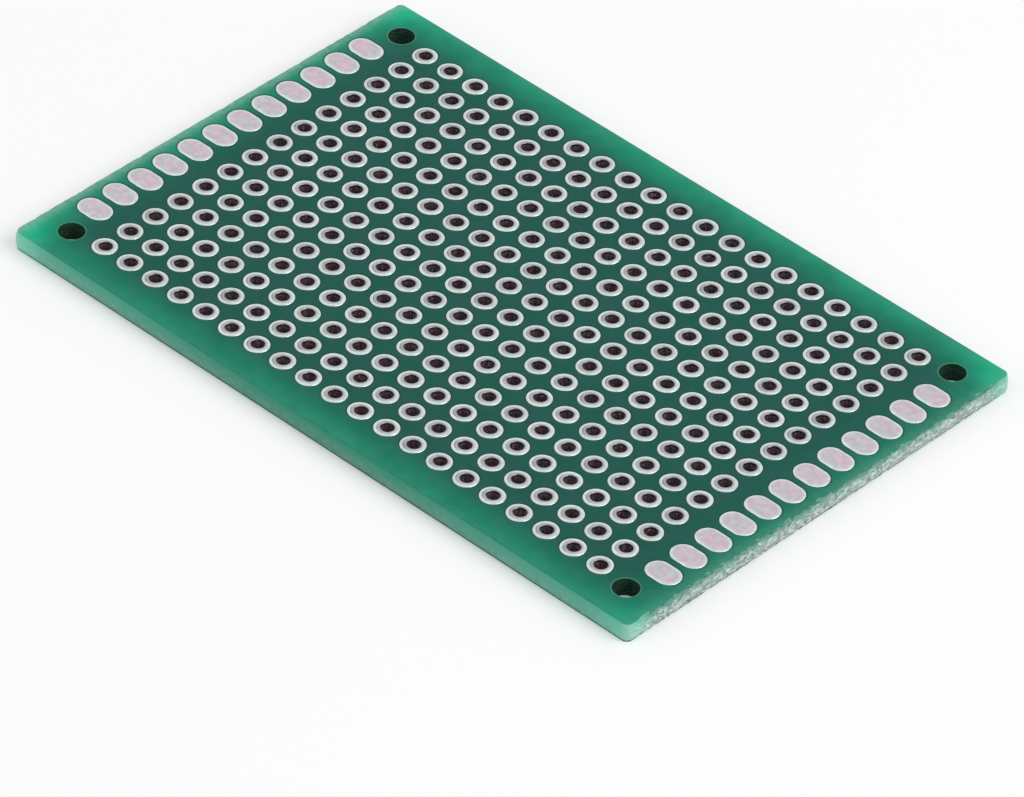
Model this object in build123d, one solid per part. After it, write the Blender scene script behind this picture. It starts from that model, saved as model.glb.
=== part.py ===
"""Double-sided prototype board.

A drilled glass-epoxy laminate carries a grid of plated lead holes, a row of oblong end pads
along each short side on both faces, a solder mask on each face and a plain hole in each corner.
Its sides are scored from both faces and broken apart, so they stand out a little in the middle.

Millimetres. The origin is the centre of the outline, on the plane that the lower pads rest on.
+X runs along the long side, +Y along the short side and +Z up through the thickness.
"""

import os
from string import ascii_lowercase

from build123d import *

# Outline
BOARD_LENGTH = 60.0  # over the broken bands in the middle of the sides
BOARD_WIDTH = 40.0
BOARD_THICKNESS = 1.6  # over the pads of both faces
CORNER_RADIUS = 0.6  # round the broken bands
SCORE_DEPTH = 0.45  # of the groove's flank, from each face of the laminate
FACE_SETBACK = 0.1  # from a side to the edge of either face

# Layers
METAL_THICKNESS = 0.05  # copper with its tin coat, on each face
MASK_THICKNESS = 0.03
MASK_CLEARANCE = 0.05  # from a pad's edge to the edge of its window in the mask

# Grid of plated lead holes
PITCH = 2.54
LEAD_HOLE_DIAMETER = 1.0  # finished, inside the plating
PLATING_THICKNESS = 0.05  # on the wall of a drilled hole
RING_DIAMETER = 1.94
GRID_SIDE_MARGIN = 3.4  # least distance from a long side to the nearest holes' axes
GRID_END_MARGIN = 5.8  # least distance from a short side to the nearest holes' axes

# Oblong pads at the short sides
END_PAD_LENGTH = 2.86
END_PAD_WIDTH = 1.98
END_PAD_MARGIN = 0.87  # from the short side to the pad's end

# Plain corner holes
CORNER_HOLE_DIAMETER = 2.0
CORNER_HOLE_INSET = 3.0  # from each side to the hole's axis

# Broken edges of the metal
PAD_EDGE_BREAK = 0.02
HOLE_MOUTH_BREAK = 0.03

lead_hole_radius = LEAD_HOLE_DIAMETER / 2
drill_radius = lead_hole_radius + PLATING_THICKNESS
ring_radius = RING_DIAMETER / 2
face_length = BOARD_LENGTH - 2 * FACE_SETBACK
face_width = BOARD_WIDTH - 2 * FACE_SETBACK
laminate_bottom = METAL_THICKNESS
laminate_top = BOARD_THICKNESS - METAL_THICKNESS


def grid_count(span, margin):
    """How many holes a pitch apart fit in a span with the margin kept at both ends."""
    return int((span - 2 * margin) / PITCH) + 1


def grid_line(count):
    """The centred positions of a line of holes."""
    return [(index - (count - 1) / 2) * PITCH for index in range(count)]


columns = grid_line(grid_count(BOARD_LENGTH, GRID_END_MARGIN))
rows = grid_line(grid_count(BOARD_WIDTH, GRID_SIDE_MARGIN))
lead_holes = [(x, y) for y in rows for x in columns]

end_pad_rows = rows[1:-1]  # the first and last rows stay free beside the corner holes
end_pad_x = BOARD_LENGTH / 2 - END_PAD_MARGIN - END_PAD_LENGTH / 2
end_pads = [(x, y) for x in (-end_pad_x, end_pad_x) for y in end_pad_rows]

corner_hole_x = BOARD_LENGTH / 2 - CORNER_HOLE_INSET
corner_hole_y = BOARD_WIDTH / 2 - CORNER_HOLE_INSET
corner_holes = [(x, y) for x in (-corner_hole_x, corner_hole_x) for y in (-corner_hole_y, corner_hole_y)]


def openings_at(positions, shape):
    return [Pos(x, y) * shape for x, y in positions]


def laminate():
    """The glass-epoxy core, with its scored sides, drilled lead holes and corner holes."""
    thickness = laminate_top - laminate_bottom
    core = extrude(RectangleRounded(BOARD_LENGTH, BOARD_WIDTH, CORNER_RADIUS), amount=thickness)
    for which in (0, -1):
        face = core.faces().sort_by(Axis.Z)[which]
        core = chamfer(face.edges(), FACE_SETBACK, SCORE_DEPTH, reference=face)
    openings = openings_at(lead_holes, Circle(drill_radius))
    openings += openings_at(corner_holes, Circle(CORNER_HOLE_DIAMETER / 2))
    return Pos(0, 0, laminate_bottom) * (core - [extrude(shape, amount=thickness) for shape in openings])


def solder_mask(bottom):
    """One face's mask, with a window round every pad and an opening at every corner hole."""
    end_window = SlotOverall(END_PAD_LENGTH + 2 * MASK_CLEARANCE, END_PAD_WIDTH + 2 * MASK_CLEARANCE)
    openings = openings_at(lead_holes, Circle(ring_radius + MASK_CLEARANCE))
    openings += openings_at(corner_holes, Circle(CORNER_HOLE_DIAMETER / 2))
    openings += openings_at(end_pads, end_window)
    outline = RectangleRounded(face_length, face_width, CORNER_RADIUS - FACE_SETBACK)
    return extrude(Pos(0, 0, bottom) * (outline - openings), amount=MASK_THICKNESS)


def plated_hole():
    """A ring on each face joined by the tube that lines the drilled hole."""
    flat_inner = lead_hole_radius + HOLE_MOUTH_BREAK
    flat_outer = ring_radius - PAD_EDGE_BREAK
    section = [
        (flat_inner, 0),
        (flat_outer, 0),
        (ring_radius, PAD_EDGE_BREAK),
        (ring_radius, laminate_bottom),
        (drill_radius, laminate_bottom),
        (drill_radius, laminate_top),
        (ring_radius, laminate_top),
        (ring_radius, BOARD_THICKNESS - PAD_EDGE_BREAK),
        (flat_outer, BOARD_THICKNESS),
        (flat_inner, BOARD_THICKNESS),
        (lead_hole_radius, BOARD_THICKNESS - HOLE_MOUTH_BREAK),
        (lead_hole_radius, HOLE_MOUTH_BREAK),
    ]
    profile = make_face(Plane.XZ * Polyline(*section, close=True))
    return revolve(profile, axis=Axis.Z).solid()


def end_pad():
    """An oblong pad standing on the XY plane, its free edge broken."""
    pad = extrude(SlotOverall(END_PAD_LENGTH, END_PAD_WIDTH), amount=METAL_THICKNESS)
    free_edges = pad.faces().sort_by(Axis.Z)[-1].edges()
    return chamfer(free_edges, PAD_EDGE_BREAK).solid()


def copies(solid, positions):
    return Compound(children=[solid.moved(Location((x, y, 0))) for x, y in positions])


os.makedirs("parts", exist_ok=True)

export_step(laminate(), "parts/laminate.step")
export_step(solder_mask(laminate_top), "parts/solder_mask_top.step")
export_step(solder_mask(laminate_bottom - MASK_THICKNESS), "parts/solder_mask_bottom.step")

hole = plated_hole()
for letter, y in zip(ascii_lowercase, rows):
    export_step(copies(hole, [(x, y) for x in columns]), f"parts/hole_row_{letter}.step")

raised_pad = end_pad()
face_pads = {
    "top": Pos(0, 0, laminate_top) * raised_pad,
    "bottom": Pos(0, 0, laminate_bottom) * Rot(180, 0, 0) * raised_pad,
}
for face_name, pad in face_pads.items():
    for end_name, x in (("left", -end_pad_x), ("right", end_pad_x)):
        positions = [(x, y) for y in end_pad_rows]
        export_step(copies(pad, positions), f"parts/end_pads_{face_name}_{end_name}.step")
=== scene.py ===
"""Looks of the prototype board: lacquered glass-epoxy, domed tin pads and scored sides."""

import math
import random

import bpy
import numpy as np
from mathutils import Matrix, Vector, noise
from mathutils.geometry import delaunay_2d_cdt


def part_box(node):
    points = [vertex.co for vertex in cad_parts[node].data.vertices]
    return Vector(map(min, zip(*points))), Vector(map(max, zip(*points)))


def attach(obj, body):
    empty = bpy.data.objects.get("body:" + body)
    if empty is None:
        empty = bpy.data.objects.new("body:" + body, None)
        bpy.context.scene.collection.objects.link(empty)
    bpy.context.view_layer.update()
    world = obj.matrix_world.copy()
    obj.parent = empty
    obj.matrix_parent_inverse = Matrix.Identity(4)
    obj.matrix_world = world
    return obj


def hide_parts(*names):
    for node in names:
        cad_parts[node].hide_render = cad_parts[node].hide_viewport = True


MM = 0.001
SEED = 41

# The board's own sizes, in millimetres. They are those of the CAD model, and CORNER_RADIUS is
# the faces', which the scored sides stand out of.
CORNER_RADIUS = 0.5
METAL = 0.05
MASK = 0.03
MASK_CLEARANCE = 0.05
PITCH = 2.54
HOLE_RADIUS = 0.5
DRILL_RADIUS = 0.55
CORNER_HOLE_RADIUS = 1.0
CORNER_HOLE_INSET = 3.0
SCORE_DEPTH = 0.45

# How finely the meshes are cut: millimetres along the outline, levels up the sides, and points
# round each kind of loop.
OUTLINE_STEP = 0.11
SIDE_LEVELS = 15
CORNER_ARC_POINTS = 10
DRILL_POINTS = 24
RING_POINTS = 32
RING_WINDOW_POINTS = 36
PAD_WINDOW_POINTS = 56
CORNER_HOLE_POINTS = 56
END_PAD_POINTS = 64

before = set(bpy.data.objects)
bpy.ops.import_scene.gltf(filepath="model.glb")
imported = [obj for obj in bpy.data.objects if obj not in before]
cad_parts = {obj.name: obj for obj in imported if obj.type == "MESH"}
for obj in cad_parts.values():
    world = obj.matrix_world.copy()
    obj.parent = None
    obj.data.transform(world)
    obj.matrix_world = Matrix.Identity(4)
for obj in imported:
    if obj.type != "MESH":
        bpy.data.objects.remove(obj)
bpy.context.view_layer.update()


def millimetres(node):
    low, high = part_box(node)
    return [v / MM for v in low], [v / MM for v in high]


laminate_low, laminate_high = millimetres("laminate")
_, face_high = millimetres("solder_mask_top")
HALF_LENGTH, HALF_WIDTH = face_high[:2]
FACE_SETBACK = laminate_high[0] - HALF_LENGTH
LAMINATE_BOTTOM, LAMINATE_TOP = laminate_low[2], laminate_high[2]
BOARD_TOP = LAMINATE_TOP + METAL

ROW_NODES = sorted(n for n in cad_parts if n.startswith("hole_row_"))
row_boxes = {n: millimetres(n) for n in ROW_NODES}
rows = {n: (low[1] + high[1]) / 2 for n, (low, high) in row_boxes.items()}
first_low, first_high = row_boxes[ROW_NODES[0]]
RING_RADIUS = (first_high[1] - first_low[1]) / 2
COLUMN_COUNT = round((first_high[0] - first_low[0] - 2 * RING_RADIUS) / PITCH) + 1
columns = [(i - (COLUMN_COUNT - 1) / 2) * PITCH for i in range(COLUMN_COUNT)]
lead_holes = [(x, y) for y in rows.values() for x in columns]

END_PAD_NODES = {
    f"end_pads_{face}_{end}": (face, end)
    for face in ("top", "bottom")
    for end in ("left", "right")
}
end_rows = sorted(rows.values())[1:-1]
pad_low, pad_high = millimetres("end_pads_top_right")
END_PAD_X = (pad_low[0] + pad_high[0]) / 2
END_PAD_LENGTH = pad_high[0] - pad_low[0]
END_PAD_WIDTH = pad_high[1] - pad_low[1] - (len(end_rows) - 1) * PITCH
end_pads = [(x, y) for x in (-END_PAD_X, END_PAD_X) for y in end_rows]

corner_x = laminate_high[0] - CORNER_HOLE_INSET
corner_y = laminate_high[1] - CORNER_HOLE_INSET
corner_holes = [(x, y) for x in (-corner_x, corner_x) for y in (-corner_y, corner_y)]

# Each side of the faces: its axis, how far it lies from the middle, and the way in from it.
SIDES = {
    "x_min": (0, HALF_LENGTH, 1),
    "x_max": (0, HALF_LENGTH, -1),
    "y_min": (1, HALF_WIDTH, 1),
    "y_max": (1, HALF_WIDTH, -1),
}


# ---------------------------------------------------------------- node helpers

class Nodes:
    """Short calls for building one material's nodes. Coordinates are millimetres."""

    def __init__(self, name):
        self.material = bpy.data.materials.new(name)
        self.material.use_nodes = True
        self.tree = self.material.node_tree
        self.bsdf = self.tree.nodes["Principled BSDF"]
        where = self.add("ShaderNodeTexCoord")
        scaled = self.add("ShaderNodeVectorMath", operation="SCALE")
        scaled.inputs["Scale"].default_value = 1 / MM
        self.link(where.outputs["Object"], scaled.inputs[0])
        self.position = scaled.outputs[0]

    def add(self, kind, **settings):
        node = self.tree.nodes.new(kind)
        for key, value in settings.items():
            setattr(node, key, value)
        return node

    def link(self, source, target):
        self.tree.links.new(source, target)

    def plug(self, value, socket):
        if isinstance(value, bpy.types.NodeSocket):
            self.link(value, socket)
        else:
            socket.default_value = value

    def math(self, operation, *values, clamp=False):
        node = self.add("ShaderNodeMath", operation=operation, use_clamp=clamp)
        for value, socket in zip(values, node.inputs):
            self.plug(value, socket)
        return node.outputs[0]

    def axes(self):
        node = self.add("ShaderNodeSeparateXYZ")
        self.link(self.position, node.inputs[0])
        return node.outputs

    def stretched(self, scale):
        node = self.add("ShaderNodeVectorMath", operation="MULTIPLY")
        self.link(self.position, node.inputs[0])
        node.inputs[1].default_value = scale
        return node.outputs[0]

    def noise(self, scale, detail=3.0, roughness=0.55, vector=None, distortion=0.0):
        node = self.add("ShaderNodeTexNoise")
        self.link(vector or self.position, node.inputs["Vector"])
        node.inputs["Scale"].default_value = scale
        node.inputs["Detail"].default_value = detail
        node.inputs["Roughness"].default_value = roughness
        node.inputs["Distortion"].default_value = distortion
        return node.outputs["Fac"]

    def ramp(self, value, low, high, to_low=0.0, to_high=1.0):
        node = self.add("ShaderNodeMapRange", interpolation_type="SMOOTHSTEP")
        for v, socket in zip((value, low, high, to_low, to_high), node.inputs):
            self.plug(v, socket)
        return node.outputs[0]

    def mix(self, factor, first, second):
        node = self.add("ShaderNodeMix", data_type="RGBA")
        node.clamp_factor = True
        self.plug(factor, node.inputs[0])
        self.plug(first, node.inputs[6])
        self.plug(second, node.inputs[7])
        return node.outputs[2]

    def bump(self, height, distance, strength=1.0):
        node = self.add("ShaderNodeBump")
        node.inputs["Strength"].default_value = strength
        node.inputs["Distance"].default_value = distance * MM
        self.link(height, node.inputs["Height"])
        return node.outputs[0]

    def attribute(self, name):
        return self.add("ShaderNodeAttribute", attribute_name=name).outputs["Fac"]


def rgb(red, green, blue):
    """A displayed 0-255 colour as the linear value that shader sockets take."""
    linear = [
        v / 255 / 12.92 if v / 255 <= 0.04045 else ((v / 255 + 0.055) / 1.055) ** 2.4
        for v in (red, green, blue)
    ]
    return (*linear, 1.0)


# ---------------------------------------------------------------- materials

# How far each effect reaches in from the sides, in millimetres.
GLOW_REACH = 2.3
HAZE_REACH = 0.6
FRAY_REACH = 0.55
KNOCK_REACH = 0.9
LONG_SIDE_REACH = 20.0
TIP_REACH = 2.6

# How strong the lacquer's pale haze and its painted glow are at each side, and the painted glow's
# extra at the corners.
HAZE_STRENGTHS = {"x_min": 0.80, "x_max": 0.18, "y_min": 0.06, "y_max": 0.10}
GLOW_STRENGTHS = {"x_min": 0.19, "x_max": 0.10, "y_min": 0.135, "y_max": 0.18}
CORNER_GLOW_STRENGTHS = {
    ("x_max", "y_max"): 0.11,
    ("x_min", "y_min"): 0.13,
    ("x_min", "y_max"): 0.09,
}


def side_falloffs(n, reach):
    """For each side, 1 at that side, falling smoothly to 0 well inside it."""
    axes = n.axes()
    result = {}
    for name, (axis, half, sign) in SIDES.items():
        inside = n.math("MULTIPLY_ADD", axes[axis], sign / reach, half / reach)
        squared = n.math("MULTIPLY", inside, inside)
        result[name] = n.math("EXPONENT", n.math("MULTIPLY", squared, -1.0))
    return result


def scaled_colour(n, colour, amount):
    node = n.add("ShaderNodeVectorMath", operation="SCALE")
    n.plug(colour, node.inputs[0])
    n.plug(amount, node.inputs["Scale"])
    return node.outputs[0]


def added_colour(n, first, second):
    node = n.add("ShaderNodeVectorMath", operation="ADD")
    n.plug(first, node.inputs[0])
    n.plug(second, node.inputs[1])
    return node.outputs[0]


def solder_mask_material():
    """Green lacquer with painted glow along the sides and round the corner holes, standing in for
    light carried in through the glass, and painted shade at the lips round rings and pads.
    """
    n = Nodes("solder_mask")
    cloud = n.ramp(n.noise(0.7, 4.0), 0.35, 0.65)
    field = n.mix(cloud, (0.009, 0.096, 0.066, 1), (0.019, 0.096, 0.084, 1))
    speckle = n.ramp(n.noise(5.0, 3.0, 0.7), 0.35, 0.70)
    mottled = n.mix(n.math("MULTIPLY", speckle, 0.6), field, (0.012, 0.118, 0.084, 1))
    # Painted glow: green light added to the colour, strongest along the sides and at the board's
    # corners, standing in for light carried in through the glass.
    glow = 0.0
    falloffs = side_falloffs(n, GLOW_REACH)
    uneven = n.ramp(n.noise(0.35, 2.0), 0.3, 0.7, 0.86, 1.14)
    for name, strength in GLOW_STRENGTHS.items():
        glow = n.math("MULTIPLY_ADD", falloffs[name], strength, glow)
    for (name, other), strength in CORNER_GLOW_STRENGTHS.items():
        both = n.math("MULTIPLY", falloffs[name], falloffs[other])
        glow = n.math("MULTIPLY_ADD", both, strength, glow)
    painted_glow = scaled_colour(n, (0.0, 1.0, 0.49), n.math("MULTIPLY", glow, uneven))
    lit = added_colour(n, mottled, painted_glow)
    # Paler, whitish lacquer in patches near the sides, most along X-min.
    paler_near_sides = side_falloffs(n, HAZE_REACH)
    haze = 0.0
    for name, strength in HAZE_STRENGTHS.items():
        haze = n.math("MULTIPLY_ADD", paler_near_sides[name], strength, haze)
    patches = n.ramp(n.noise(2.0, 4.0, 0.65), 0.30, 0.70, 0.6, 1.3)
    hazed = n.mix(n.math("MULTIPLY", haze, patches, clamp=True), lit, rgb(132, 182, 164))
    # Painted shade: the lacquer darkened on its lip round each ring and pad, standing in for the
    # shadow at the lacquer's edge.
    lip_shade = n.math("MULTIPLY", n.attribute("lip_shade"), 0.60)
    shaded_lacquer = n.mix(lip_shade, hazed, (0.040, 0.060, 0.050, 1))
    # Painted glow: the lacquer paler and greener on its lip round each corner hole, standing in for
    # light coming up through the hole's wall.
    halo = n.math("MULTIPLY", n.attribute("halo"), 0.9)
    n.link(n.mix(halo, shaded_lacquer, (0.085, 0.300, 0.185, 1)), n.bsdf.inputs["Base Color"])
    n.link(n.ramp(n.noise(1.4, 3.0), 0.3, 0.7, 0.30, 0.44), n.bsdf.inputs["Roughness"])
    n.bsdf.inputs["Specular IOR Level"].default_value = 0.06
    n.link(n.bump(n.noise(2.2, 3.0), 0.02, 0.35), n.bsdf.inputs["Normal"])
    return n.material


def tin_material():
    """Tin that has flowed: pinkish grey where flat, with a painted pale green highlight and
    reflection of the lacquer on its raised rims, and painted shade down into the holes.
    """
    n = Nodes("tinned_pads")
    blotch = n.ramp(n.noise(0.9, 3.0, 0.6), 0.40, 0.60)
    flat = n.mix(blotch, (0.615, 0.490, 0.570, 1), (0.520, 0.520, 0.555, 1))
    fine = n.mix(n.ramp(n.noise(4.5, 3.0, 0.65), 0.46, 0.68), flat, (0.660, 0.470, 0.560, 1))
    grey = n.mix(n.ramp(n.noise(2.2, 3.0), 0.50, 0.66), fine, (0.520, 0.550, 0.560, 1))
    # Painted highlight and reflection: the rim attribute mixes in a pale green, standing in for the
    # lamps and the green lacquer mirrored in the raised rims.
    rim_highlighted = n.mix(n.attribute("rim"), grey, (0.605, 0.710, 0.695, 1))
    # Painted shade: the shade attribute darkens the tin down into each hole's mouth, at the dome's
    # outer foot and along the groove.
    shaded = n.mix(n.attribute("shade"), rim_highlighted, (0.120, 0.102, 0.108, 1))
    uneven = n.ramp(n.noise(1.9, 3.0, 0.6), 0.30, 0.70, 0.90, 1.08)
    brightness = n.math("MULTIPLY", uneven, n.math("ADD", n.attribute("tone"), 1.0))
    n.link(scaled_colour(n, shaded, brightness), n.bsdf.inputs["Base Color"])
    n.bsdf.inputs["Metallic"].default_value = 1.0
    n.link(n.ramp(n.noise(3.0, 2.0), 0.3, 0.7, 0.26, 0.42), n.bsdf.inputs["Roughness"])
    n.link(n.bump(n.noise(5.0, 3.0), 0.012, 0.7), n.bsdf.inputs["Normal"])
    return n.material


def hole_wall_material():
    """The plating down a hole: dull and brownish with lighter streaks and a few painted glints."""
    n = Nodes("hole_walls")
    streak = n.ramp(n.noise(3.0, 3.0, vector=n.stretched((3.0, 3.0, 0.7))), 0.40, 0.72)
    colour = n.mix(streak, (0.095, 0.056, 0.072, 1), (0.300, 0.205, 0.225, 1))
    # Painted highlight: small bright glints on the plating.
    painted_glint = n.ramp(n.noise(5.0, 3.0, 0.7, vector=n.stretched((1.0, 1.0, 0.6))), 0.60, 0.70)
    n.link(n.mix(painted_glint, colour, (0.620, 0.480, 0.450, 1)), n.bsdf.inputs["Base Color"])
    n.bsdf.inputs["Metallic"].default_value = 0.3
    n.bsdf.inputs["Roughness"].default_value = 0.5
    n.link(n.bump(n.noise(6.0, 3.0), 0.02, 0.5), n.bsdf.inputs["Normal"])
    return n.material


def drilled_wall_material():
    """Bare laminate down a drilled hole: dark green with strands across it."""
    n = Nodes("drilled_walls")
    strands = n.noise(2.5, 4.0, vector=n.stretched((1.0, 1.0, 2.4)))
    colour = n.mix(n.ramp(strands, 0.35, 0.7), (0.010, 0.032, 0.020, 1), (0.022, 0.085, 0.050, 1))
    n.link(colour, n.bsdf.inputs["Base Color"])
    n.bsdf.inputs["Roughness"].default_value = 0.7
    n.bsdf.inputs["Specular IOR Level"].default_value = 0.15
    n.link(n.bump(n.noise(5.0, 3.0), 0.03, 0.8), n.bsdf.inputs["Normal"])
    return n.material


def laminate_face_material():
    """The laminate's faces: dark in the mask's windows, partly painted shade from the lacquer's
    edge, frayed and pale along the sides.
    """
    n = Nodes("laminate_face")
    # Dark in the windows: partly painted shade, deepening the narrow gaps between the lacquer and
    # the tin.
    dark = n.mix(n.ramp(n.noise(3.0, 3.0), 0.3, 0.7), rgb(34, 54, 46), rgb(48, 74, 64))
    falloffs = side_falloffs(n, FRAY_REACH)
    near_side = n.math("ADD", falloffs["x_min"], falloffs["x_max"])
    for name in ("y_min", "y_max"):
        near_side = n.math("ADD", near_side, falloffs[name], clamp=True)
    frayed = n.ramp(n.noise(5.0, 3.0, 0.7), 0.35, 0.65)
    pale = n.mix(frayed, rgb(96, 160, 138), rgb(186, 212, 202))
    n.link(n.mix(n.ramp(near_side, 0.2, 0.6), dark, pale), n.bsdf.inputs["Base Color"])
    n.bsdf.inputs["Roughness"].default_value = 0.6
    n.bsdf.inputs["Specular IOR Level"].default_value = 0.2
    return n.material


def knocked_corners(n, colour):
    """The same colour, greyer and paler in patches on the four rounded corners."""
    falloffs = side_falloffs(n, KNOCK_REACH)
    across = n.math("ADD", falloffs["x_min"], falloffs["x_max"])
    along = n.math("ADD", falloffs["y_min"], falloffs["y_max"])
    patchy = n.math("MULTIPLY_ADD", n.noise(2.4, 3.0, 0.6), 0.8, -0.4)
    paler_near_sides = n.ramp(n.math("MULTIPLY_ADD", across, along, patchy), 0.45, 0.95, 0.0, 0.42)
    return n.mix(paler_near_sides, colour, rgb(182, 212, 202))


def broken_side_material():
    """A short side: broken glass strands, whitish and grey, under lacquer dragged down; painted
    shade along the bottom, painted light towards the ends, and greener above, partly painted light.
    """
    n = Nodes("broken_side")
    axes = n.axes()
    strands = n.noise(2.0, 5.0, 0.72, vector=n.stretched((1.0, 1.0, 1.7)), distortion=0.9)
    base = n.mix(n.ramp(strands, 0.38, 0.62), rgb(104, 142, 132), rgb(214, 230, 224))
    grey = n.ramp(n.noise(0.8, 3.0, 0.6), 0.50, 0.66, 0.0, 0.75)
    greyed = n.mix(grey, base, rgb(164, 168, 172))
    pink = n.ramp(n.noise(0.9, 3.0, 0.6, vector=n.stretched((1.0, 1.3, 1.1))), 0.60, 0.72, 0.0, 0.5)
    patched = n.mix(pink, greyed, rgb(168, 150, 156))
    # Painted shade: darker along the bottom.
    bottom = n.ramp(axes[2], 0.05, 0.25, 0.40, 0.0)
    bottom_shaded = n.mix(bottom, patched, rgb(108, 138, 130))
    # Greener above a wavy line and paler below: partly the side's own colour, partly painted light
    # for how the lamps fall on the scored profile.
    middle = n.math("MULTIPLY_ADD", n.noise(1.1, 4.0, 0.65), -1.1, 1.85)
    above = n.ramp(n.math("SUBTRACT", axes[2], middle), -0.34, 0.16)
    greened = n.mix(n.math("MULTIPLY", above, 0.85), bottom_shaded, rgb(88, 150, 130))
    lacquer = n.ramp(n.math("MULTIPLY_ADD", n.noise(1.6, 4.0, 0.65), 0.9, axes[2]), 1.82, 2.0)
    smeared = n.mix(lacquer, greened, rgb(50, 128, 100))
    # Painted light: brighter mint towards the ends of the side.
    ends = n.ramp(n.math("ABSOLUTE", axes[1]), HALF_WIDTH - 3.0, HALF_WIDTH - 0.4, 0.0, 0.62)
    painted_end_light = n.mix(ends, smeared, rgb(134, 222, 198))
    n.link(knocked_corners(n, painted_end_light), n.bsdf.inputs["Base Color"])
    n.bsdf.inputs["Roughness"].default_value = 0.7
    n.bsdf.inputs["Specular IOR Level"].default_value = 0.3
    n.link(n.bump(n.noise(6.0, 4.0, 0.7), 0.05, 0.6), n.bsdf.inputs["Normal"])
    return n.material


def smooth_side_material():
    """A long side: translucent green above and paler below, partly painted light for how the lamps
    fall on the scored profile, and brighter towards the ends with added painted light.
    """
    n = Nodes("smooth_side")
    axes = n.axes()
    streaks = n.noise(1.7, 4.0, 0.6, vector=n.stretched((1.0, 1.0, 1.5)), distortion=0.5)
    low = n.mix(n.ramp(streaks, 0.36, 0.66), rgb(76, 140, 118), rgb(100, 152, 136))
    # Paler below and greener above: partly the side's own colour, partly painted light for how the
    # lamps fall on the scored profile.
    cloud = n.ramp(n.noise(0.45, 3.0), 0.50, 0.66, 0.0, 0.6)
    paler_below = n.mix(n.math("MULTIPLY", cloud, n.ramp(axes[2], 1.2, 0.3)), low, rgb(118, 146, 136))
    depth = n.math("MULTIPLY_ADD", n.noise(1.2, 3.0), 0.5, axes[2])
    greened = n.mix(n.ramp(depth, 0.75, 1.75), paler_below, rgb(50, 140, 112))
    # Painted light: colour added, broad along the whole side and strongest at the tips, most at the
    # X-min end.
    reaches = side_falloffs(n, LONG_SIDE_REACH)
    tips = side_falloffs(n, TIP_REACH)
    far = n.math("ADD", reaches["x_min"], reaches["x_max"])
    result = added_colour(n, greened, scaled_colour(n, (0.062, 0.175, 0.145), far))
    result = added_colour(n, result, scaled_colour(n, (0.120, 0.255, 0.190), tips["x_min"]))
    result = added_colour(n, result, scaled_colour(n, (0.060, 0.150, 0.120), tips["x_max"]))
    n.link(knocked_corners(n, result), n.bsdf.inputs["Base Color"])
    n.bsdf.inputs["Roughness"].default_value = 0.6
    n.bsdf.inputs["Specular IOR Level"].default_value = 0.2
    n.link(n.bump(n.noise(4.0, 3.0), 0.03, 0.6), n.bsdf.inputs["Normal"])
    return n.material


# ---------------------------------------------------------------- mesh helpers

INSIDE_ONLY = 1  # delaunay_2d_cdt's mode that keeps what lies inside the edges
SAME_POINT = 1e-7


def circle(x, y, radius, count):
    turns = np.arange(count) * 2 * math.pi / count
    return np.stack([x + radius * np.cos(turns), y + radius * np.sin(turns)], 1)


def slot(x, y, length, width, count):
    """An obround's outline, counter-clockwise, with half of the points on each end."""
    half = count // 2
    turns = np.linspace(-math.pi / 2, math.pi / 2, half)
    radius, straight = width / 2, (length - width) / 2
    right = np.stack([x + straight + radius * np.cos(turns), y + radius * np.sin(turns)], 1)
    left = np.stack([x - straight - radius * np.cos(turns), y - radius * np.sin(turns)], 1)
    return np.concatenate([right, left])


def board_outline(step):
    """Points and outward normals round the board, counter-clockwise, about a step apart."""
    centre_x, centre_y = HALF_LENGTH - CORNER_RADIUS, HALF_WIDTH - CORNER_RADIUS
    points, normals = [], []
    corners = [
        (centre_x, -centre_y),
        (centre_x, centre_y),
        (-centre_x, centre_y),
        (-centre_x, -centre_y),
    ]
    for k, (x, y) in enumerate(corners):
        for turn in np.linspace(k - 1, k, CORNER_ARC_POINTS) * math.pi / 2:
            normals.append((math.cos(turn), math.sin(turn)))
            points.append(
                (x + CORNER_RADIUS * math.cos(turn), y + CORNER_RADIUS * math.sin(turn))
            )
        next_x, next_y = corners[(k + 1) % 4]
        normal = (math.cos(k * math.pi / 2), math.sin(k * math.pi / 2))
        start = np.array(points[-1])
        end = np.array((next_x, next_y)) + CORNER_RADIUS * np.array(normal)
        count = int(np.linalg.norm(end - start) / step)
        for share in np.arange(1, count) / count:
            points.append(tuple(start + (end - start) * share))
            normals.append(normal)
    return np.array(points), np.array(normals)


def fill(outline, holes):
    """Triangles between an outline and its holes, as (points, triangles)."""
    loops = [outline, *holes]
    points = np.concatenate(loops)
    edges, start = [], 0
    for loop in loops:
        index = np.arange(len(loop))
        following = (index + 1) % len(loop)
        edges += list(zip((start + index).tolist(), (start + following).tolist()))
        start += len(loop)
    made = delaunay_2d_cdt([Vector(p) for p in points], edges, [], INSIDE_ONLY, SAME_POINT)
    filled = np.array([tuple(v) for v in made[0]])
    triangles = np.array(made[2])
    middles = filled[triangles].mean(1)
    keep = np.ones(len(triangles), bool)
    for hole in holes:
        keep &= ~inside_convex(middles, hole)
    return filled, triangles[keep]


def inside_convex(points, loop):
    """Which points lie inside a convex counter-clockwise loop."""
    low, high = loop.min(0), loop.max(0)
    near = np.where(((points > low) & (points < high)).all(1))[0]
    mask = np.zeros(len(points), bool)
    if len(near):
        ends = np.roll(loop, -1, 0)
        side = (ends - loop)[None]
        offset = points[near][:, None] - loop[None]
        cross = side[..., 0] * offset[..., 1] - side[..., 1] * offset[..., 0]
        mask[near] = (cross > 0).all(1)
    return mask


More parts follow.
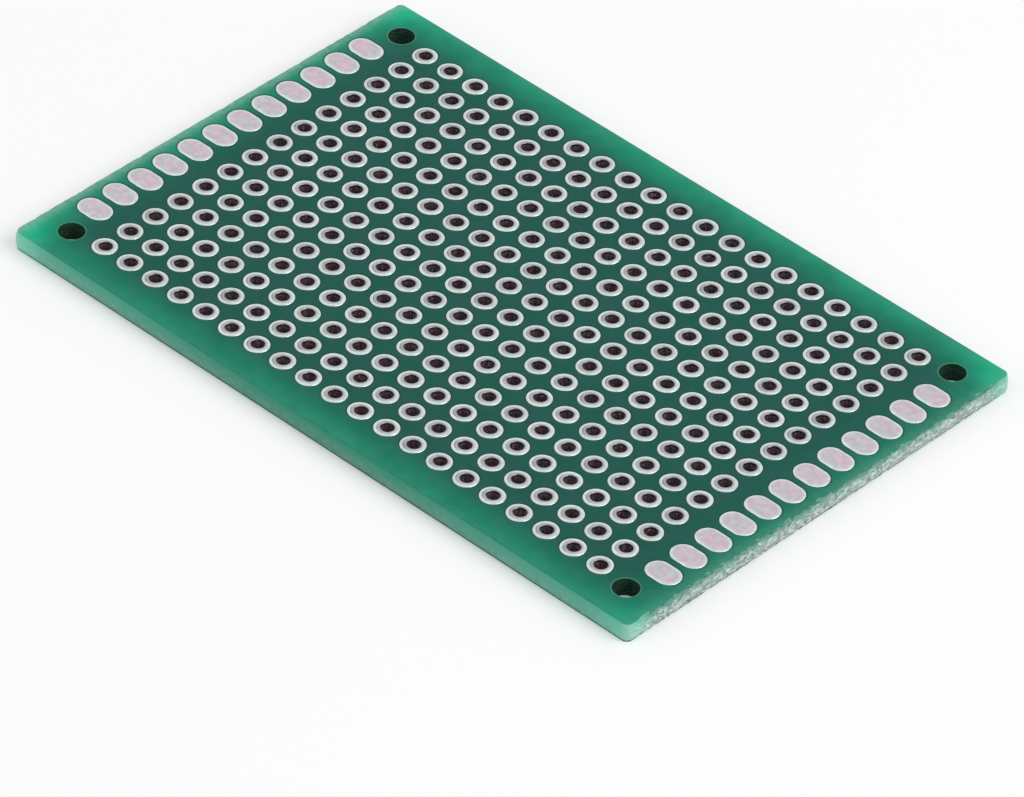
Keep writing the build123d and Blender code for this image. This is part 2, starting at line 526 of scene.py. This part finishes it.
class Shape:
    """Collects vertices and faces in millimetres, with a material index for each face."""

    def __init__(self):
        self.points, self.faces, self.indices, self.count = [], [], [], 0

    def vertices(self, points):
        points = np.asarray(points, float).reshape(-1, 3)
        start = self.count
        self.points.append(points)
        self.count += len(points)
        return start

    def add_faces(self, faces, material=0):
        self.faces += faces
        self.indices += [material] * len(faces)

    def bands(self, start, rings, count, material=0, flip=False):
        """Quads between successive closed loops of count points."""
        for ring in range(rings - 1):
            low, high = start + ring * count, start + (ring + 1) * count
            for k in range(count):
                following = (k + 1) % count
                face = (low + k, low + following, high + following, high + k)
                self.faces.append(face[::-1] if flip else face)
                self.indices.append(material)

    def build(self, name, materials, smooth_angle=40, attributes=None):
        mesh = bpy.data.meshes.new(name)
        mesh.from_pydata((np.concatenate(self.points) * MM).tolist(), [], self.faces)
        for material in materials:
            mesh.materials.append(material)
        mesh.polygons.foreach_set("material_index", self.indices)
        mesh.polygons.foreach_set("use_smooth", [True] * len(self.faces))
        mesh.set_sharp_from_angle(angle=math.radians(smooth_angle))
        for key, values in (attributes or {}).items():
            mesh.attributes.new(key, "FLOAT", "POINT").data.foreach_set("value", values)
        mesh.validate()
        mesh.update()
        piece = bpy.data.objects.new(name, mesh)
        bpy.context.scene.collection.objects.link(piece)
        return piece


def stand_for(piece, slot_name, *nodes):
    """Put a piece on the board's one body, in place of its CAD nodes."""
    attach(piece, "root")
    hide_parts(*nodes)


# ---------------------------------------------------------------- laminate

SIDE_SINK = 0.02  # the sides lie this far inside the true ones, so that the relief has room
EDGE_ROUND = 0.10
EDGE_ROUND_SHARE = 0.6
BROKEN_LEAN = 0.72  # a point belongs to a short side where its normal leans this far along X


def side_relief(point, normal, z):
    """How far a side's broken strands stand out of its mean surface at a point."""
    broken = normal[0] ** 2
    coarse = noise.fractal(Vector((point[0] * 1.1, point[1] * 1.1, z * 1.6)), 1.0, 2.1, 3)
    fine = noise.noise(Vector((point[0] * 4.5, point[1] * 4.5, z * 5.5)))
    rough = 0.030 * coarse + 0.024 * fine
    smooth = 0.010 * coarse + 0.008 * fine
    return broken * rough + (1 - broken) * smooth


def laminate_piece(materials):
    """The core: scored sides that stand out in the middle, and every drilled hole."""
    face, broken, smooth, drilled = range(4)
    shape = Shape()
    points, normals = board_outline(OUTLINE_STEP)
    levels = np.linspace(LAMINATE_BOTTOM, LAMINATE_TOP, SIDE_LEVELS)
    loops = []
    for z in levels:
        to_face = min(z - LAMINATE_BOTTOM, LAMINATE_TOP - z)
        inset = -FACE_SETBACK * min(1.0, to_face / SCORE_DEPTH)
        if to_face < EDGE_ROUND:
            fall = EDGE_ROUND - math.sqrt(EDGE_ROUND**2 - (EDGE_ROUND - to_face) ** 2)
            inset += EDGE_ROUND_SHARE * fall
        relief = np.array([side_relief(p, m, z) for p, m in zip(points, normals)])
        loops.append(points + normals * (relief - SIDE_SINK - inset)[:, None])
    count = len(points)
    rings = [np.column_stack([loop, np.full(count, z)]) for loop, z in zip(loops, levels)]
    start = shape.vertices(np.concatenate(rings))
    on_short_side = np.abs(normals[:, 0]) > BROKEN_LEAN
    for ring in range(len(levels) - 1):
        low, high = start + ring * count, start + (ring + 1) * count
        for k in range(count):
            following = (k + 1) % count
            quad = (low + k, low + following, high + following, high + k)
            shape.add_faces([quad], broken if on_short_side[k] else smooth)
    holes = [circle(x, y, DRILL_RADIUS, DRILL_POINTS) for x, y in lead_holes]
    holes += [circle(x, y, CORNER_HOLE_RADIUS, CORNER_HOLE_POINTS) for x, y in corner_holes]
    faces = ((loops[0], LAMINATE_BOTTOM, True), (loops[-1], LAMINATE_TOP, False))
    for loop, z, flip in faces:
        flat, triangles = fill(loop, holes)
        first = shape.vertices(np.column_stack([flat, np.full(len(flat), z)]))
        if flip:
            triangles = triangles[:, ::-1]
        shape.add_faces((triangles + first).tolist(), face)
    for hole in holes:
        count = len(hole)
        ends = (LAMINATE_TOP, LAMINATE_BOTTOM)
        rings = [np.column_stack([hole, np.full(count, z)]) for z in ends]
        first = shape.vertices(np.concatenate(rings))
        shape.bands(first, len(ends), count, drilled)
    piece = shape.build("laminate_board", materials)
    stand_for(piece, "glass_epoxy", "laminate")


# ---------------------------------------------------------------- solder mask

# The lacquer's edges, in millimetres: the lip round each window, and the rim along the sides,
# which is set back, ragged and chipped. Each rim step is a share of its width and of the drop.
LIP_WIDTH, LIP_DROP = 0.12, 0.016
# LIP_MARKS gives, loop by loop, the strength of the painted shade round rings and pads and of the
# painted glow round corner holes.
LIP_STEP, LIP_MARKS = 0.4, (0.0, 0.6, 1.0, 1.0)
RIM_WIDTH = 0.09
RIM_STEPS = ((0.0, 1.4), (0.35, 0.6), (1.0, 0.0))
RIM_SETBACK = 0.02
RAGGED_MEAN, RAGGED_SWING = 0.02, 0.03
CHIP_DEPTH, CHIP_THRESHOLD = 0.22, 0.10
CHIPPING = {"x_min": 0.5, "x_max": 1.0}


def window_loops(offset):
    """Every opening in a mask, grown by an offset: rings, oblong pads, then corner holes."""
    reach = MASK_CLEARANCE + offset
    length, width = END_PAD_LENGTH + 2 * reach, END_PAD_WIDTH + 2 * reach
    corner_radius = CORNER_HOLE_RADIUS + offset
    loops = [circle(x, y, RING_RADIUS + reach, RING_WINDOW_POINTS) for x, y in lead_holes]
    loops += [slot(x, y, length, width, PAD_WINDOW_POINTS) for x, y in end_pads]
    loops += [circle(x, y, corner_radius, CORNER_HOLE_POINTS) for x, y in corner_holes]
    return loops


def mask_piece(name, inner_z, outer_z, node, material, seed):
    """A coat of lacquer: thin at its windows' lips, rounded and chipped along the sides."""
    shape = Shape()
    points, normals = board_outline(OUTLINE_STEP)
    edge = []
    for p, m in zip(points, normals):
        broken = m[0] ** 2
        place = Vector((p[0] * 0.9, p[1] * 0.9, seed))
        chips = max(0.0, noise.fractal(place * 1.6, 1.0, 2.0, 4) - CHIP_THRESHOLD)
        ragged = RAGGED_MEAN + RAGGED_SWING * noise.noise(place * 6)
        share = CHIPPING["x_max" if m[0] > 0 else "x_min"]
        edge.append(RIM_SETBACK + broken * (CHIP_DEPTH * chips + ragged) * share)
    edge = np.array(edge)[:, None]
    outward = outer_z > inner_z
    drop = -LIP_DROP if outward else LIP_DROP
    rim = [
        (points - normals * (edge + share * RIM_WIDTH), outer_z + drop * fall)
        for share, fall in RIM_STEPS
    ]
    windows = window_loops(0.0)
    sheet_holes = window_loops(LIP_WIDTH)
    flat, triangles = fill(rim[-1][0], sheet_holes)
    lips, halos = [], []

    def add_loops(loops, lip_shade=(), halo=()):
        count = len(loops[0][0])
        rings = [np.column_stack([loop, np.full(count, z)]) for loop, z in loops]
        start = shape.vertices(np.concatenate(rings))
        shape.bands(start, len(loops), count, flip=not outward)
        for k in range(len(loops)):
            lips.append(np.full(count, lip_shade[k] if lip_shade else 0.0))
            halos.append(np.full(count, halo[k] if halo else 0.0))

    first = shape.vertices(np.column_stack([flat, np.full(len(flat), outer_z)]))
    shape.add_faces(((triangles if outward else triangles[:, ::-1]) + first).tolist())
    lips.append(np.zeros(len(flat)))
    halos.append(np.zeros(len(flat)))
    add_loops([(rim[0][0], inner_z), *rim])
    for index, (window, hole) in enumerate(zip(windows, sheet_holes)):
        loops = [
            (hole, outer_z),
            ((window + hole) / 2, outer_z + drop * LIP_STEP),
            (window, outer_z + drop),
            (window, inner_z),
        ]
        # Round the corner holes a window's lip carries painted glow; round rings and pads it
        # carries painted shade.
        at_corner = index >= len(windows) - len(corner_holes)
        add_loops(loops, **{"halo" if at_corner else "lip_shade": LIP_MARKS})
    attributes = {"lip_shade": np.concatenate(lips), "halo": np.concatenate(halos)}
    piece = shape.build(name, [material], attributes=attributes)
    stand_for(piece, "solder_mask", node)


# ---------------------------------------------------------------- tin

# One face's section through a ring, from the hole outwards: share of the way across the ring,
# depth below the crest in mm, strength of the painted highlight on the raised rim, and of the
# painted shade.
RING_SECTION = [
    (0.000, 0.200, 0.0, 1.00),
    (0.000, 0.075, 0.0, 0.92),
    (0.022, 0.046, 0.2, 0.80),
    (0.075, 0.026, 0.4, 0.66),
    (0.150, 0.013, 0.5, 0.50),
    (0.250, 0.006, 0.5, 0.34),
    (0.420, 0.006, 0.7, 0.10),
    (0.470, 0.009, 0.8, 0.08),
    (0.520, 0.005, 0.9, 0.03),
    (0.600, 0.001, 1.0, 0.00),
    (0.720, 0.000, 1.1, 0.00),
    (0.830, 0.003, 1.0, 0.00),
    (0.910, 0.010, 1.0, 0.05),
    (0.965, 0.024, 0.8, 0.22),
    (1.000, 0.050, 0.5, 0.50),
]
# The groove is painted dark: a faint painted line all round each ring, and a painted dark
# reflection on an arc towards -X and -Y.
GROOVE_SHARE, GROOVE_WIDTH = 0.46, 0.055
GROOVE_TURN, GROOVE_SPREAD = math.radians(225), 0.9
GROOVE_LEAST = 0.15
BORE_SHIFT = 0.045  # of the holes in their rings, towards +Y
MOUTH_SHIFT = 0.035  # more at the mouth, moving the mouth's painted shade towards +Y in place of light falling into the hole from one side
INNER_SHARE = 0.5  # of the way across a ring, where the hole's shift has died out
METAL_CREASE = 50  # degrees, above which an edge stays sharp

# The most by which one ring differs from the next: shares of its radius, millimetres of height,
# a share of its brightness, the painted dark arc's turn in radians and its painted shade, and the
# mouth's drift.
OVAL, THREE_LOBED = 0.006, 0.004
TILT_MOST, SAG_MOST = 0.004, 0.003
TONE_MOST = 0.05
GROOVE_TURN_MOST, GROOVE_PAINTED_SHADE = 0.4, (0.35, 0.95)
DRIFT_MOST = 0.02


def ring_piece(node, y, materials, random_source):
    """One row's plated holes: tin that has flowed into a low dome on each face."""
    tin, wall = 0, 1
    width = RING_RADIUS - HOLE_RADIUS
    upper = [
        (share, HOLE_RADIUS + share * width, BOARD_TOP - depth, rim, dark)
        for share, depth, rim, dark in RING_SECTION
    ]
    lower = [(share, r, BOARD_TOP - z, rim, dark) for share, r, z, rim, dark in reversed(upper)]
    inner = [(0.0, DRILL_RADIUS, z, 0.0, 1.0) for z in (LAMINATE_TOP, LAMINATE_BOTTOM)]
    section = zip(*lower, *upper, *inner)
    shares, radii, heights, rims, darks = (np.array(v)[:, None] for v in section)
    inwards = np.clip(1 - shares / INNER_SHARE, 0, 1)
    off_centre = BORE_SHIFT * inwards
    off_centre[-len(inner):] = 0.0
    mouth = inwards * np.clip(shares / 0.02, 0, 1)
    outwards = np.clip(shares / INNER_SHARE, 0, 1)
    dome = np.clip(shares / 0.2, 0, 1) * np.clip((1 - shares) / 0.1, 0, 1)
    side = np.sign(heights - BOARD_TOP / 2)
    groove = np.exp(-(((shares - GROOVE_SHARE) / GROOVE_WIDTH) ** 2))
    turns = np.arange(RING_POINTS) * 2 * math.pi / RING_POINTS
    row_count = len(shares)
    shape = Shape()
    values = {"rim": [], "shade": [], "tone": []}
    for x in columns:
        phase, phase2, tilt_turn = (random_source.uniform(0, 2 * math.pi) for _ in range(3))
        wobble = OVAL * np.cos(2 * turns + phase) + THREE_LOBED * np.cos(3 * turns + phase2)
        tilt = random_source.uniform(0.0, TILT_MOST)
        sag = random_source.uniform(0.0, SAG_MOST)
        tone = random_source.uniform(-TONE_MOST, TONE_MOST)
        arc_turn = GROOVE_TURN + random_source.uniform(-GROOVE_TURN_MOST, GROOVE_TURN_MOST)
        arc_shade = random_source.uniform(*GROOVE_PAINTED_SHADE)
        drift_x = random_source.uniform(-DRIFT_MOST, DRIFT_MOST)
        drift_y = random_source.uniform(-DRIFT_MOST, DRIFT_MOST)
        r = radii * (1 + outwards * wobble[None])
        lean = 1 + np.cos(turns - tilt_turn)[None]
        z = heights - side * dome * (sag + tilt * lean * 0.5)
        px = x + r * np.cos(turns)[None] + mouth * drift_x
        py = y + r * np.sin(turns)[None] + mouth * (drift_y + MOUTH_SHIFT) + off_centre
        start = shape.vertices(np.stack([px, py, z], -1))
        for k in range(row_count):
            following = (k + 1) % row_count
            material = wall if k == len(RING_SECTION) - 1 else tin
            low, high = start + k * RING_POINTS, start + following * RING_POINTS
            for s in range(RING_POINTS):
                t = (s + 1) % RING_POINTS
                shape.faces.append((low + s, high + s, high + t, low + t))
                shape.indices.append(material)
        # Painted shade for the groove and its dark arc, added to the section's painted shade; the
        # rim values are painted highlight.
        swing = (turns - arc_turn + math.pi) % (2 * math.pi) - math.pi
        arc = GROOVE_LEAST + arc_shade * np.exp(-((swing / GROOVE_SPREAD) ** 2))
        shade = np.clip(darks + groove * arc[None], 0, 1)
        values["rim"].append(np.broadcast_to(rims, r.shape).ravel())
        values["shade"].append(shade.ravel())
        values["tone"].append(np.full(r.size, tone))
    attributes = {key: np.concatenate(value) for key, value in values.items()}
    name = node.replace("hole_row", "plated_holes")
    piece = shape.build(name, materials, METAL_CREASE, attributes)
    stand_for(piece, "tinned_copper", node)


# An end pad's loops, as distances in from its outline, then its rim and where the painted highlight
# along that rim ends and fades, all in millimetres, and how strong that painted highlight is.
END_PAD_INSETS = [0.0, 0.006, 0.02, 0.045, 0.08, 0.12, 0.16, 0.22, 0.30, 0.40, 0.55, 0.75]
END_PAD_RIM = 0.15
HIGHLIGHT_WIDTH, HIGHLIGHT_FADE, RIM_HIGHLIGHT = 0.12, 0.16, 0.95
END_PAD_SAG = 0.004
UNEVEN_SEEDS = {"top": 7.0, "bottom": 3.0}


def end_pad_piece(node, face, end, materials):
    """One end's oblong pads: tin with a rounded rim and a gently uneven middle."""
    count = END_PAD_POINTS
    top = face == "top"
    shape, values = Shape(), []
    x = END_PAD_X if end == "right" else -END_PAD_X
    for y in end_rows:
        loops, rims = [], []
        for inset in END_PAD_INSETS:
            loop = slot(x, y, END_PAD_LENGTH - 2 * inset, END_PAD_WIDTH - 2 * inset, count)
            share = min(inset / END_PAD_RIM, 1.0)
            height = METAL * math.sqrt(1 - (1 - share) ** 2)
            # Painted highlight: pale along the pad's rim, fading towards its middle.
            faded = max(0.0, min(1.0, (inset - HIGHLIGHT_WIDTH) / HIGHLIGHT_FADE))
            rims += [RIM_HIGHLIGHT - RIM_HIGHLIGHT * faded] * count
            for px, py in loop:
                uneven = noise.noise(Vector((px * 1.3, py * 1.3, UNEVEN_SEEDS[face])))
                lift = height - share * END_PAD_SAG * (1 + uneven)
                z = LAMINATE_TOP + lift if top else LAMINATE_BOTTOM - lift
                loops.append((px, py, z))
        start = shape.vertices(loops)
        shape.bands(start, len(END_PAD_INSETS), count, flip=not top)
        last = [start + (len(END_PAD_INSETS) - 1) * count + k for k in range(count)]
        base = [start + k for k in range(count)]
        shape.add_faces([tuple(last if top else last[::-1])])
        shape.add_faces([tuple(base[::-1] if top else base)])
        values += rims
    name = node.replace("end_pads", "oblong_pads")
    piece = shape.build(name, materials, METAL_CREASE, {"rim": np.array(values)})
    stand_for(piece, "tinned_copper", node)


# ---------------------------------------------------------------- build

mask_material = solder_mask_material()
tin = tin_material()
laminate_piece([
    laminate_face_material(),
    broken_side_material(),
    smooth_side_material(),
    drilled_wall_material(),
])
for face, inner_z, outer_z, seed in (
    ("top", LAMINATE_TOP, LAMINATE_TOP + MASK, 11.0),
    ("bottom", LAMINATE_BOTTOM, LAMINATE_BOTTOM - MASK, 29.0),
):
    mask_piece(f"lacquer_{face}", inner_z, outer_z, f"solder_mask_{face}", mask_material, seed)
random_source = random.Random(SEED)
ring_materials = [tin, hole_wall_material()]
for node, y in rows.items():
    ring_piece(node, y, ring_materials, random_source)
for node, (face, end) in END_PAD_NODES.items():
    end_pad_piece(node, face, end, [tin])


# ---------------------------------------------------------------- stage, light and camera

WHITE = (1.0, 1.0, 1.0, 1.0)
FLOOR_SIZE = 6.0
FLOOR_COLOUR = (0.88, 0.88, 0.88, 1)
FLOOR_LIFT = 0.17  # its own light where it is seen directly, so that it shows as white
WORLD_LEVEL = 0.60
LAMPS = {  # place, diameter and power
    "key": ((0.75, 0.30, 0.75), 0.9, 5.2),
    "fill": ((-0.5, -0.7, 0.8), 1.2, 1.6),
}


def seen_directly(tree):
    """1 for camera, glossy and transmission rays, else 0."""
    path = tree.nodes.new("ShaderNodeLightPath")
    total = path.outputs["Is Camera Ray"]
    for name in ("Is Glossy Ray", "Is Transmission Ray"):
        add = tree.nodes.new("ShaderNodeMath")
        add.operation = "MAXIMUM"
        tree.links.new(total, add.inputs[0])
        tree.links.new(path.outputs[name], add.inputs[1])
        total = add.outputs[0]
    return total


def make_floor():
    bpy.ops.mesh.primitive_plane_add(size=FLOOR_SIZE)
    floor = bpy.context.object
    floor.name = "floor"
    material = bpy.data.materials.new("floor")
    material.use_nodes = True
    tree = material.node_tree
    bsdf = tree.nodes["Principled BSDF"]
    bsdf.inputs["Base Color"].default_value = FLOOR_COLOUR
    bsdf.inputs["Roughness"].default_value = 0.9
    bsdf.inputs["Specular IOR Level"].default_value = 0.0
    bsdf.inputs["Emission Color"].default_value = WHITE
    lift = tree.nodes.new("ShaderNodeMath")
    lift.operation = "MULTIPLY"
    lift.inputs[1].default_value = FLOOR_LIFT
    tree.links.new(seen_directly(tree), lift.inputs[0])
    tree.links.new(lift.outputs[0], bsdf.inputs["Emission Strength"])
    floor.data.materials.append(material)


def make_world():
    world = bpy.data.worlds.new("studio")
    bpy.context.scene.world = world
    world.use_nodes = True
    tree = world.node_tree
    background = tree.nodes["Background"]
    background.inputs["Color"].default_value = WHITE
    strength = tree.nodes.new("ShaderNodeMapRange")
    strength.inputs["To Min"].default_value = WORLD_LEVEL
    strength.inputs["To Max"].default_value = 1.0
    tree.links.new(seen_directly(tree), strength.inputs["Value"])
    tree.links.new(strength.outputs[0], background.inputs["Strength"])


def make_area_light(name, location, size, power):
    data = bpy.data.lights.new(name, "AREA")
    data.shape = "DISK"
    data.size = size
    data.energy = power
    light = bpy.data.objects.new(name, data)
    light.location = location
    to_board = Vector((0, 0, 0)) - Vector(location)
    light.rotation_euler = to_board.to_track_quat("-Z", "Y").to_euler()
    bpy.context.scene.collection.objects.link(light)


def make_camera():
    """The studio camera: a long lens looking down on the board's near corner."""
    right = Vector((0.72657529, 0.68540811, 0.04800072))
    down = Vector((0.46058032, -0.43401998, -0.77426896))
    forward = Vector((-0.50985695, 0.58467288, -0.63103368))
    location = Vector((0.320135, -0.366194, 0.386769 + BOARD_TOP * MM))
    data = bpy.data.cameras.new("camera")
    data.sensor_width = 36.0
    data.lens = 307.75
    data.clip_start = 0.01
    data.clip_end = 20.0
    camera = bpy.data.objects.new("camera", data)
    axes = Matrix((right, -down, -forward)).transposed().to_4x4()
    camera.matrix_world = Matrix.Translation(location) @ axes
    bpy.context.scene.collection.objects.link(camera)
    bpy.context.scene.camera = camera


make_floor()
make_world()
for name, (location, size, power) in LAMPS.items():
    make_area_light(name, location, size, power)
make_camera()
bpy.context.scene.view_settings.view_transform = "Standard"
